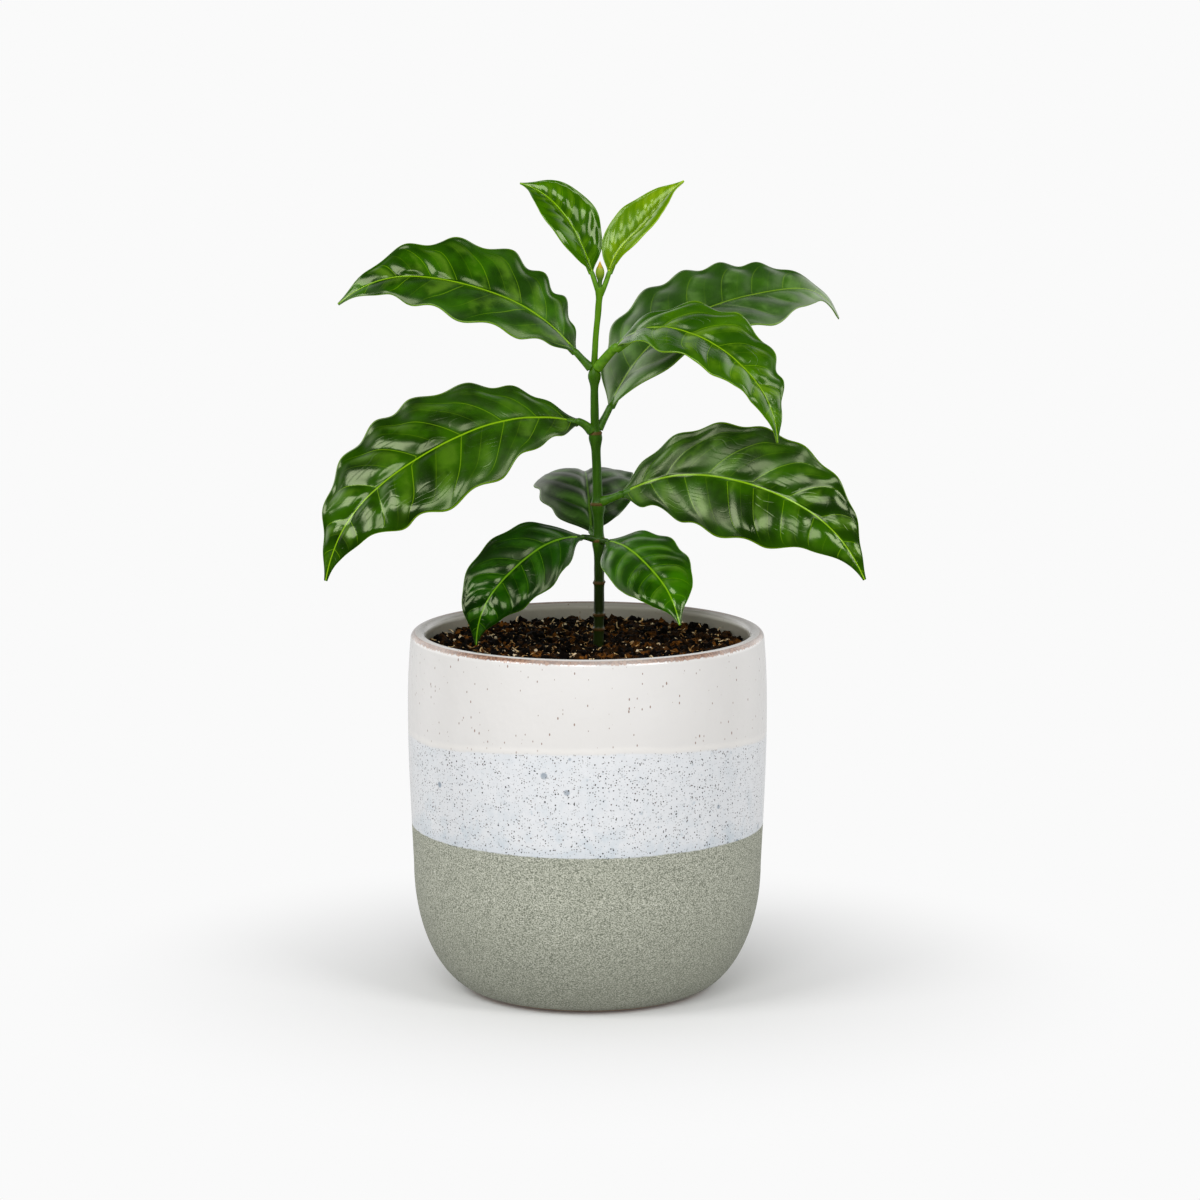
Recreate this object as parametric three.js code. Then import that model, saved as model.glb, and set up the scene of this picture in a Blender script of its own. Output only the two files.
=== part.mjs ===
// A young coffee plant with ten leaves in a round glazed ceramic pot, in millimetres.
// +Z is up, +X is to the right and +Y to the back. The origin is the centre of the pot's flat underside.

import * as THREE from "three";

// The pot: a flat foot, a wide rounded corner, a nearly upright wall and a rounded lip.
const potHeight = 121.5;
const potRadius = 60;
const footRadius = 35;
const cornerStart = 0.8;
const cornerHeight = 42;
const cornerRadius = 58.3;
const cornerSteps = 7;
const wallHeights = [60, 78];
const shoulderHeight = 97.5;
const shoulderDrawIn = 1.2;
const lipRadius = 2.6;
const wallThickness = 5.2;
const floorHeight = 7;
const floorRadius = 30;
const cavityCornerSteps = 5;
const cavityWallHeight = 70;
const lipSteps = 8;
const potSides = 40;
const potColor = 0xe9e7e3;

// The soil fills the pot to just under the lip.
const soilHeight = 115.6;
const soilUnevenness = 0.35;
const soilFlatRadius = 8;
const soilWaveX = 7;
const soilWaveY = 6;
const soilRings = 4;
const soilColor = 0x2a1a10;

// The space left between two pieces that touch.
const gap = 0.3;

// The stem: its lean to the right at equal steps of height, and its swollen nodes.
const stemFoot = soilHeight + gap;
const stemTop = 236;
const stemLean = [3.7, 3.9, 3.65, 3.1, 2.4, 2.6, 4.2];
const stemRadii = [1.7, 1.7, 1.65, 1.6, 1.5, 1.1, 1.2];
const stemNodes = [
  { height: 121.7, swelling: 0.3, spread: 0.8 },
  { height: 126.6, swelling: 0.35, spread: 0.8 },
  { height: 137.4, swelling: 0.35, spread: 0.8 },
  { height: 151.2, swelling: 0.6, spread: 2 },
  { height: 163.5, swelling: 0.7, spread: 2 },
  { height: 186.8, swelling: 0.7, spread: 2 },
  { height: 207.4, swelling: 0.9, spread: 1.8 },
  { height: 235.2, swelling: 0.3, spread: 1.5 },
];
const stemSides = 10;
const stemSteps = 48;
const stemColor = 0x4a6a1c;

// The bud between the two youngest leaves.
const budLength = 8.6;
const budRadius = 1.45;
const budOutline = [0.55, 0.6, 0.9, 1, 0.94, 0.74, 0.45, 0.2];
const budSides = 10;
const budColor = 0x8fa83a;

// The leaves. Angles are in degrees, and a heading turns from +X towards +Y.
// An outline gives the half width at equal steps from base to tip, as a share of the greatest half width.
const slenderOutline = [0.05, 0.36, 0.66, 0.88, 0.99, 0.99, 0.88, 0.66, 0.37, 0.13, 0];
const roundOutline = [0.1, 0.6, 0.87, 0.98, 1, 0.95, 0.84, 0.66, 0.4, 0.13, 0];
const bladeThickness = 1;
const tipHalfWidth = 0.5;
const bladeCup = 0.11;
const bladeColumns = 4;
const bladeRows = 16;
const stepsPerRow = 3;
const petioleSides = 8;
const petioleSteps = 3;
const petioleFlare = 1.25;
const petioleLift = 1.5;
const petioleBend = 0.4;
const seatingPasses = 4;
const petioleColor = 0x5a8a22;

// A leaf stands on the stem at node. Its petiole ends at reach out from the stem's axis and rise above the node.
// The blade's heading runs from base to tip, slopes are those of its midrib at equal steps, roll turns the blade
// about its midrib at base and tip, and fold lifts its two halves. A belly over 1 moves the widest place towards
// the tip.
const leaves = [
  {
    name: "top_left",
    node: 235,
    petiole: { heading: 170, reach: 2.7, rise: 5.9, radius: 0.75 },
    heading: [160, 148],
    slopes: [71, 60, 38, 11],
    length: 41,
    halfWidth: 9.6,
    roll: [-25, -42],
    fold: 30,
    outline: slenderOutline,
    belly: 1,
    color: 0x4e8f1e,
  },
  {
    name: "top_right",
    node: 235,
    petiole: { heading: 8, reach: 3.1, rise: 5.9, radius: 0.75 },
    heading: [15, 15],
    slopes: [74, 43, 51, 35],
    length: 39.5,
    halfWidth: 9.2,
    roll: [30, 21],
    fold: 36,
    outline: slenderOutline,
    belly: 1,
    color: 0x76ab1c,
  },
  {
    name: "upper_left",
    node: 207.5,
    petiole: { heading: 178, reach: 6.4, rise: 7.3, radius: 1 },
    heading: [170, 178],
    slopes: [50, 22, 3, -40],
    length: 88.5,
    halfWidth: 17.8,
    roll: [-28, -46],
    fold: 14,
    outline: slenderOutline,
    belly: 0.92,
    color: 0x2c6b14,
  },
  {
    name: "upper_front",
    node: 207.2,
    petiole: { heading: -30, reach: 10.7, rise: 12.9, radius: 1.1 },
    heading: [-36, -36],
    slopes: [24, -15, -38, -85],
    length: 77.5,
    halfWidth: 15.4,
    roll: [30, 8],
    fold: 14,
    outline: slenderOutline,
    belly: 1.04,
    color: 0x3f8a1c,
  },
  {
    name: "upper_back",
    node: 187.2,
    petiole: { heading: 31, reach: 5.9, rise: 9.1, radius: 1 },
    heading: [33, 33],
    slopes: [62, 25, 2, -34],
    length: 108,
    halfWidth: 22,
    roll: [0, 41],
    fold: 12,
    outline: slenderOutline,
    belly: 0.87,
    color: 0x24521a,
  },
  {
    name: "middle_left",
    node: 186.5,
    petiole: { heading: 198, reach: 6.3, rise: 5.2, radius: 1.2 },
    heading: [196, 196],
    slopes: [12, -19, -39, -78],
    length: 109,
    halfWidth: 22,
    roll: [-39, -46],
    fold: 4,
    outline: slenderOutline,
    belly: 1.04,
    color: 0x2a6414,
  },
  {
    name: "middle_right",
    node: 163.5,
    petiole: { heading: -20, reach: 8.6, rise: 4.2, radius: 1.2 },
    heading: [-20, -16],
    slopes: [29, -4, -28, -65],
    length: 97,
    halfWidth: 19.8,
    roll: [56, 64],
    fold: 7,
    outline: slenderOutline,
    belly: 1,
    color: 0x2a6414,
  },
  {
    name: "middle_back",
    node: 151.6,
    petiole: { heading: 122, reach: 4.6, rise: 2.6, radius: 0.9 },
    heading: [94, 92],
    slopes: [36, 18, -28, -62],
    length: 82,
    halfWidth: 16.2,
    roll: [0, 0],
    fold: 9,
    outline: slenderOutline,
    belly: 1,
    color: 0x24521a,
  },
  {
    name: "low_left",
    node: 151.2,
    petiole: { heading: 208, reach: 6.4, rise: 2, radius: 0.9 },
    heading: [216, 216],
    slopes: [6, -26, -45, -88],
    length: 59,
    halfWidth: 13.1,
    roll: [-31, -47],
    fold: 5,
    outline: roundOutline,
    belly: 1.2,
    color: 0x245c12,
  },
  {
    name: "low_right",
    node: 150.8,
    petiole: { heading: -57, reach: 5.2, rise: 1.2, radius: 0.9 },
    heading: [-56, -64],
    slopes: [4, -18, -28, -61],
    length: 53.5,
    halfWidth: 13,
    roll: [23, 23],
    fold: 7,
    outline: roundOutline,
    belly: 1.17,
    color: 0x2a6a14,
  },
];

// The value at t, from 0 to 1, on a smooth line through equally spaced values.
function along(values, t) {
  const line = new THREE.SplineCurve(values.map((value, i) => new THREE.Vector2(i, value)));
  return line.getPoint(t).y;
}

function direction(headingDegrees, slopeDegrees) {
  const heading = THREE.MathUtils.degToRad(headingDegrees);
  const slope = THREE.MathUtils.degToRad(slopeDegrees);
  return new THREE.Vector3(
    Math.cos(slope) * Math.cos(heading),
    Math.cos(slope) * Math.sin(heading),
    Math.sin(slope),
  );
}

// Moves every vertex of a geometry to the place that the function gives for it.
function reshape(geometry, place) {
  const positions = geometry.getAttribute("position");
  for (let i = 0; i < positions.count; i++) {
    const moved = place(new THREE.Vector3().fromBufferAttribute(positions, i));
    positions.setXYZ(i, moved.x, moved.y, moved.z);
  }
  geometry.computeVertexNormals();
  return geometry;
}

function makeMesh(name, geometry, color, roughness) {
  const material = new THREE.MeshStandardMaterial({ color, roughness, metalness: 0 });
  const mesh = new THREE.Mesh(geometry, material);
  mesh.name = name;
  return mesh;
}

// The outer radius of the pot between its foot and its lip.
function potOuterRadius(height) {
  if (height < cornerHeight) {
    const turn = Math.acos(1 - height / cornerHeight);
    return footRadius + (cornerRadius - footRadius) * Math.sin(turn);
  }
  if (height < shoulderHeight) {
    const share = (height - cornerHeight) / (shoulderHeight - cornerHeight);
    return cornerRadius + (potRadius - cornerRadius) * Math.sin((share * Math.PI) / 2);
  }
  const share = (height - shoulderHeight) / (potHeight - shoulderHeight);
  return potRadius - shoulderDrawIn * share * share;
}

// The cavity, from the middle of its floor up its rounded corner and wall, drawn in by an inset.
function cavityProfile(inset, top) {
  const floor = floorHeight + inset;
  const wallRadius = cornerRadius - wallThickness - inset;
  const width = wallRadius - floorRadius;
  const depth = cornerHeight - floor;
  const corner = new THREE.EllipseCurve(floorRadius, cornerHeight, width, depth, -Math.PI / 2, 0);
  const points = [new THREE.Vector2(0, floor), ...corner.getPoints(cavityCornerSteps)];
  for (const height of [cavityWallHeight, shoulderHeight, top]) {
    points.push(new THREE.Vector2(potOuterRadius(height) - wallThickness - inset, height));
  }
  return points;
}

function makePot() {
  const outer = [new THREE.Vector2(0, 0), new THREE.Vector2(footRadius, 0)];
  for (let i = 1; i <= cornerSteps; i++) {
    const turn = ((i / cornerSteps) * Math.PI) / 2;
    const height = cornerStart + (cornerHeight - cornerStart) * (1 - Math.cos(turn));
    outer.push(new THREE.Vector2(potOuterRadius(height), height));
  }
  for (const height of [...wallHeights, shoulderHeight]) {
    outer.push(new THREE.Vector2(potOuterRadius(height), height));
  }
  const lipHeight = potHeight - lipRadius;
  const lipCentre = potOuterRadius(lipHeight) - lipRadius;
  const lip = new THREE.EllipseCurve(lipCentre, lipHeight, lipRadius, lipRadius, 0, Math.PI);
  const inner = cavityProfile(0, lipHeight);
  inner.pop();
  const profile = [...outer, ...lip.getPoints(lipSteps), ...inner.reverse()];
  const geometry = new THREE.LatheGeometry(profile, potSides).rotateX(Math.PI / 2);
  return makeMesh("pot", geometry, potColor, 0.2);
}

function makeSoil() {
  const edge = cavityProfile(gap, soilHeight);
  const edgeRadius = edge[edge.length - 1].x;
  const top = [];
  for (let i = 1; i <= soilRings; i++) {
    const radius = THREE.MathUtils.lerp(edgeRadius, soilFlatRadius, i / soilRings);
    top.push(new THREE.Vector2(radius, soilHeight));
  }
  const profile = [...edge, ...top, new THREE.Vector2(0, soilHeight)];
  const geometry = new THREE.LatheGeometry(profile, potSides).rotateX(Math.PI / 2);
  reshape(geometry, (p) => {
    const radius = Math.hypot(p.x, p.y);
    if (p.z > soilHeight - gap && radius > soilFlatRadius + gap && radius < edgeRadius - gap) {
      p.z += soilUnevenness * Math.sin(p.x / soilWaveX) * Math.cos(p.y / soilWaveY);
    }
    return p;
  });
  return makeMesh("soil", geometry, soilColor, 1);
}

function stemAxis(height) {
  const share = (height - stemFoot) / (stemTop - stemFoot);
  return new THREE.Vector3(along(stemLean, share), 0, height);
}

function stemRadius(height) {
  const share = (height - stemFoot) / (stemTop - stemFoot);
  let radius = along(stemRadii, share);
  for (const node of stemNodes) {
    radius += node.swelling * Math.exp(-(((height - node.height) / node.spread) ** 2));
  }
  return radius;
}

function makeStem() {
  const geometry = new THREE.CylinderGeometry(1, 1, stemTop - stemFoot, stemSides, stemSteps);
  geometry.rotateX(Math.PI / 2).translate(0, 0, (stemFoot + stemTop) / 2);
  reshape(geometry, (p) => {
    const radius = stemRadius(p.z);
    const axis = stemAxis(p.z);
    return new THREE.Vector3(axis.x + radius * p.x, axis.y + radius * p.y, p.z);
  });
  return makeMesh("stem", geometry, stemColor, 0.6);
}

function makeBud() {
  const profile = [new THREE.Vector2(0, 0)];
  budOutline.forEach((share, i) => {
    profile.push(new THREE.Vector2(budRadius * share, (budLength * i) / budOutline.length));
  });
  profile.push(new THREE.Vector2(0, budLength));
  const geometry = new THREE.LatheGeometry(profile, budSides).rotateX(Math.PI / 2);
  const mesh = makeMesh("bud", geometry, budColor, 0.5);
  mesh.position.copy(stemAxis(stemTop)).add(new THREE.Vector3(0, 0, gap));
  return mesh;
}

// Where a leaf's blade begins.
function bladeBase(leaf) {
  const out = direction(leaf.petiole.heading, 0).multiplyScalar(leaf.petiole.reach);
  return stemAxis(leaf.node).add(out).add(new THREE.Vector3(0, 0, leaf.petiole.rise));
}

// A petiole's path from the stem's skin to the blade. Its foot is moved out until its disc just clears the stem.
function petiolePath(leaf) {
  const { heading, reach, rise, radius } = leaf.petiole;
  const footSize = radius * petioleFlare;
  const bladeDirection = direction(leaf.heading[0], leaf.slopes[0]);
  const end = bladeBase(leaf).addScaledVector(bladeDirection, -gap);
  const start = stemAxis(leaf.node);
  const path = new THREE.QuadraticBezierCurve3(start, end.clone(), end);
  let distance = stemRadius(leaf.node) + gap;
  for (let pass = 0; pass < seatingPasses; pass++) {
    const lift = Math.min(petioleLift, (distance * rise) / reach);
    start.copy(stemAxis(leaf.node)).addScaledVector(direction(heading, 0), distance);
    start.z += lift;
    path.v1.copy(end).addScaledVector(bladeDirection, -petioleBend * start.distanceTo(end));
    const tangent = path.getTangent(0);
    const edgeHeight = start.z + footSize * Math.hypot(tangent.x, tangent.y);
    distance = stemRadius(edgeHeight) + gap + footSize * tangent.z;
  }
  return path;
}

// A short bent limb from the stem's skin to the blade, a little stouter at its foot.
function makePetiole(leaf) {
  const { heading, radius } = leaf.petiole;
  const path = petiolePath(leaf);
  const sideways = direction(heading + 90, 0);
  const geometry = new THREE.CylinderGeometry(1, petioleFlare, 1, petioleSides, petioleSteps);
  reshape(geometry, (p) => {
    const share = p.y + 0.5;
    const tangent = path.getTangent(share);
    const across = sideways.clone().addScaledVector(tangent, -sideways.dot(tangent)).normalize();
    const upward = across.clone().cross(tangent);
    return path
      .getPoint(share)
      .addScaledVector(across, radius * p.x)
      .addScaledVector(upward, radius * p.z);
  });
  return makeMesh("petiole_" + leaf.name, geometry, petioleColor, 0.5);
}

// Walks the midrib in small steps and keeps the place, side and normal at the end of each row.
function midribRows(leaf) {
  const steps = bladeRows * stepsPerRow;
  const place = bladeBase(leaf);
  const rows = [];
  for (let step = 0; step <= steps; step++) {
    const share = step / steps;
    const heading = THREE.MathUtils.lerp(leaf.heading[0], leaf.heading[1], share);
    if (step % stepsPerRow === 0) {
      const forward = direction(heading, along(leaf.slopes, share));
      const side = direction(heading + 90, 0);
      const roll = THREE.MathUtils.lerp(leaf.roll[0], leaf.roll[1], share);
      const width = leaf.halfWidth * along(leaf.outline, share ** leaf.belly);
      const halfWidth = Math.max(tipHalfWidth, width);
      rows.push({ place: place.clone(), side, normal: forward.cross(side), roll, halfWidth });
    }
    const middle = share + 0.5 / steps;
    const middleHeading = THREE.MathUtils.lerp(leaf.heading[0], leaf.heading[1], middle);
    const slope = along(leaf.slopes, Math.min(middle, 1));
    place.addScaledVector(direction(middleHeading, slope), leaf.length / steps);
  }
  return rows;
}

// A thin blade: a flat box whose columns run across the leaf and whose rows follow its midrib.
function makeBlade(leaf) {
  const rows = midribRows(leaf);
  const geometry = new THREE.BoxGeometry(2, 1, 1, bladeColumns, bladeRows, 1);
  reshape(geometry, (p) => {
    const row = rows[Math.round((p.y + 0.5) * bladeRows)];
    const across = -p.x;
    const angle = THREE.MathUtils.degToRad(row.roll + Math.sign(across) * leaf.fold);
    const outward = row.side
      .clone()
      .multiplyScalar(Math.cos(angle))
      .addScaledVector(row.normal, Math.sin(angle));
    const normal = row.normal
      .clone()
      .multiplyScalar(Math.cos(angle))
      .addScaledVector(row.side, -Math.sin(angle));
    const height = p.z * bladeThickness - bladeCup * row.halfWidth * across * across;
    return row.place
      .clone()
      .addScaledVector(outward, row.halfWidth * across)
      .addScaledVector(normal, height);
  });
  return makeMesh("leaf_" + leaf.name, geometry, leaf.color, 0.35);
}

const plant = new THREE.Group();
plant.add(makeStem(), makeBud());
for (const leaf of leaves) {
  plant.add(makePetiole(leaf), makeBlade(leaf));
}

const pottedPlant = new THREE.Group();
pottedPlant.add(makePot(), makeSoil(), plant);

export default pottedPlant;
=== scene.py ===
# A young coffee plant with ten leaves in a round glazed ceramic pot, on a pale floor.
# Sizes are in millimetres until a point is placed, +Z is up, and the origin is the middle of the
# pot's underside.

import math
import random

import bmesh
import bpy
from mathutils import Matrix, Vector, noise


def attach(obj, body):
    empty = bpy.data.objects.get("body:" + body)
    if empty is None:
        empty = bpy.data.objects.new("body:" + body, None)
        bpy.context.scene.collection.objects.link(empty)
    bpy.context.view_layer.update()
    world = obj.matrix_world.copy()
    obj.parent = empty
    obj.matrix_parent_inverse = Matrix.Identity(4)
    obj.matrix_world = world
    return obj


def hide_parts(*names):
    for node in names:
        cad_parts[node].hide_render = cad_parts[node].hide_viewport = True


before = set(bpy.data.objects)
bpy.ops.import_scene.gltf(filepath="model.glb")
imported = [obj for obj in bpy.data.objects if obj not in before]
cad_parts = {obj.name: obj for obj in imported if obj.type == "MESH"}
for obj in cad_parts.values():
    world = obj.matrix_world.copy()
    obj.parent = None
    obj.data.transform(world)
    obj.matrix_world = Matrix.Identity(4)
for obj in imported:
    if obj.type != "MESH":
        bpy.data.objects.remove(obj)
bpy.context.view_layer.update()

MM = 0.001
FULL_TURN = 2 * math.pi
MERGE_DISTANCE = 1e-6

# The camera stands in front of the plant and looks a little down on it.
CAMERA_PLACE = (4.2, -1500, 384.5)
CAMERA_TILT = 9.575
CAMERA_LENS = 136.95
SENSOR_WIDTH = 36

# The studio: how many metres the floor reaches each way, where it turns into plain white, and how bright
# the room is to each kind of ray.
FLOOR_REACH = 40
FLOOR_FADE_START = 15
FLOOR_FADE_END = 190
ROOM_LIGHT = 0.36
SEEN_LIGHT = 0.96
CEILING_LIGHT = 0.006
BACKDROP_LIGHT = 1.9
FLOOR_LIGHT = 0.7

# Each softbox: its name, its place, width and height in metres, and its power in watts.
SOFTBOXES = [
    ("key", (-0.9, -0.68, 1.0), 0.6, 0.55, 7.7),
    ("front", (-0.15, -1.15, 0.95), 0.6, 0.5, 5.4),
    ("fill", (0.8, -0.85, 0.9), 0.5, 0.5, 6.3),
]
SOFTBOX_TARGET = (0, 0, 0.15)

# The pot: a flat foot, a wide rounded corner, a nearly upright wall and a rounded lip. The wall's
# unevenness sets in between two heights.
POT_HEIGHT = 121.5
POT_RADIUS = 60
FOOT_RADIUS = 35
FOOT_FLAT_RADIUS = 37.6
FOOT_BEVEL_WIDTH = 0.3
FOOT_BEVEL_HEIGHT = 0.05
FOOT_EDGE_HEIGHT = 0.9
CORNER_HEIGHT = 42
CORNER_RADIUS = 58.3
SHOULDER_HEIGHT = 97.5
SHOULDER_DRAW_IN = 1.2
LIP_RADIUS = 2.6
WALL_THICKNESS = 5.2
CAVITY_FLOOR = 7
CAVITY_FLOOR_RADIUS = 30
POT_SIDES = 180
CORNER_STEPS = 26
WALL_LEVELS = 60
LIP_STEPS = 22
CAVITY_CORNER_STEPS = 16
CAVITY_LEVELS = 24
POT_UNEVENNESS = 0.12
POT_UNEVENNESS_WIDTH = 34
POT_UNEVENNESS_HEIGHTS = (2, 20)

# Where the glazes meet on the wall and how far their edges wander, and where the brown line of the rim
# and the painted shade on the wall inside it start and end.
UPPER_GLAZE_EDGE = 89
UPPER_GLAZE_SWAY = 2
UPPER_GLAZE_WANDER = 2.4
LOWER_GLAZE_EDGE = 56.6
LOWER_GLAZE_WANDER = 0.9
RIM_LINE_HEIGHTS = (119.8, 120.3)
RIM_LINE_RADII = (57.3, 57.8)
SHADED_INNER_WALL_RADII = (54.6, 55.6)

# The kinds of specks in the blue glaze: the width of a speck's cell, its greatest radius as a share of
# that, the share of the cells that have one, its strength and its colour.
BLUE_SPECKS = [
    (7, 0.17, 0.4, 0.7, "64788a"),
    (0.7, 0.34, 0.95, 0.7, "74736f"),
    (0.85, 0.32, 0.85, 1.0, "2a2826"),
    (1.3, 0.2, 0.5, 0.95, "4a2e20"),
    (1.7, 0.17, 0.5, 1.0, "16161c"),
]

# The potting mix, and the smallest and largest of its crumbs, fibres and pale bits.
SOIL_HEIGHT = 115.6
SOIL_EDGE_GAP = 0.3
SOIL_EDGE_DIP = 0.4
SOIL_DIP = 0.2
SOIL_LUMP_WIDTH = 5.5
SOIL_LUMP_HEIGHT = 0.9
SOIL_SIDES = 150
SOIL_RINGS = 60
CRUMB_COUNT = 4200
CRUMB_SIZES = (0.45, 1.9)
CRUMB_SHAPES = 9
CRUMB_FLATNESS = 0.75
FIBRE_COUNT = 1700
FIBRE_SIZES = (1.2, 3.7)
FIBRE_SHAPES = 12
FIBRE_BENDS = 4
FIBRE_SIDES = 5
FIBRE_ROWS = 8
FIBRE_RADIUS = 0.075
FIBRE_FLATNESS = 0.6
PALE_BIT_COUNT = 420
PALE_BIT_SIZES = (0.2, 0.8)
RANDOM_SEED = 11

# Each kind of crumb and fibre: its name, its dark and its light colour, and its share of the count.
CRUMB_KINDS = [
    ("crumbs_black", "020100", "100803", 0.5),
    ("crumbs_brown", "0e0702", "3c240c", 0.35),
    ("crumbs_red_brown", "1c0e04", "7c4c1a", 0.15),
]
FIBRE_KINDS = [
    ("fibres_tan", "6a4420", "d8ac70", 0.55),
    ("fibres_pale", "c0985c", "ffe8bc", 0.45),
]

# The stem: its lean to the right and its radius at equal steps of height, the height, swelling and
# spread of its nodes, the rings round it, and where its bark turns from old to grown to young.
STEM_FOOT = SOIL_HEIGHT - 1
STEM_BASE = SOIL_HEIGHT + 0.3
STEM_TOP = 236
STEM_LEAN = [3.7, 3.9, 3.65, 3.1, 2.4, 2.6, 4.2]
STEM_RADII = [1.7, 1.7, 1.65, 1.52, 1.38, 1.0, 1.1]
STEM_NODES = [
    (121.7, 0.15, 0.9), (126.6, 0.2, 0.9), (137.4, 0.2, 0.9), (150.6, 0.6, 2.4), (163, 0.8, 2.6),
    (186, 0.8, 2.6), (206.6, 0.95, 2.6), (235, 0.4, 2),
]
STEM_RINGS = [121.7, 126.6, 137.4, 151.6, 163.9, 187.6]
RING_SWELLING = 0.3
RING_SPREAD = 0.35
RING_TILT = 0.25
OLD_BARK_HEIGHTS = (128, 158)
YOUNG_BARK_HEIGHTS = (196, 226)
STEM_SIDES = 40
STEM_ROWS = 420
STEM_CAP_ROWS = 2

# The bud between the two youngest leaves.
BUD_LENGTH = 8.9
BUD_RADIUS = 1.45
BUD_OUTLINE = [0.5, 0.45, 0.55, 0.88, 1, 0.86, 0.42, 0.12]
BUD_SINK = 0.3
BUD_SIDES = 24
BUD_ROWS = 60

# The scales at the stalks: their width as a share of the stalk's radius, and their thickness.
SCALE_WIDTH = 0.95
SCALE_THICKNESS = 0.3
SCALE_SIDES = 12
SCALE_ROWS = 14

# The leaves. Angles are in degrees, and a heading turns from +X towards +Y.
# An outline gives the half width at equal steps from base to tip, as a share of the greatest half width.
SLENDER = [0.06, 0.42, 0.71, 0.89, 0.98, 0.98, 0.89, 0.73, 0.49, 0.2, 0.03]
ROUND = [0.1, 0.6, 0.86, 0.96, 0.98, 0.95, 0.87, 0.72, 0.48, 0.18, 0.03]
BLADE_THICKNESS = 0.36
BLADE_COLUMNS = 64
MIDRIB_STEPS = 160
TIP_HALF_WIDTH = 0.35
EDGE_DROOP = 0.5
FAR_EDGE_LIFT = 1.4
WAVE_IN_PLANE = 0.75
WAVE_OFF_PLANE = 0.75
RUNG_STEP = 2
PILLOW = 2.2
PANEL_REACH = 5
NOISE_STEP = 7.3
PETIOLE_LIFT = 1.5
PETIOLE_BEND = 0.4
FLARE_REACH = 2.8
STALK_SIDES = 18
STALK_ROWS = 26

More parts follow.
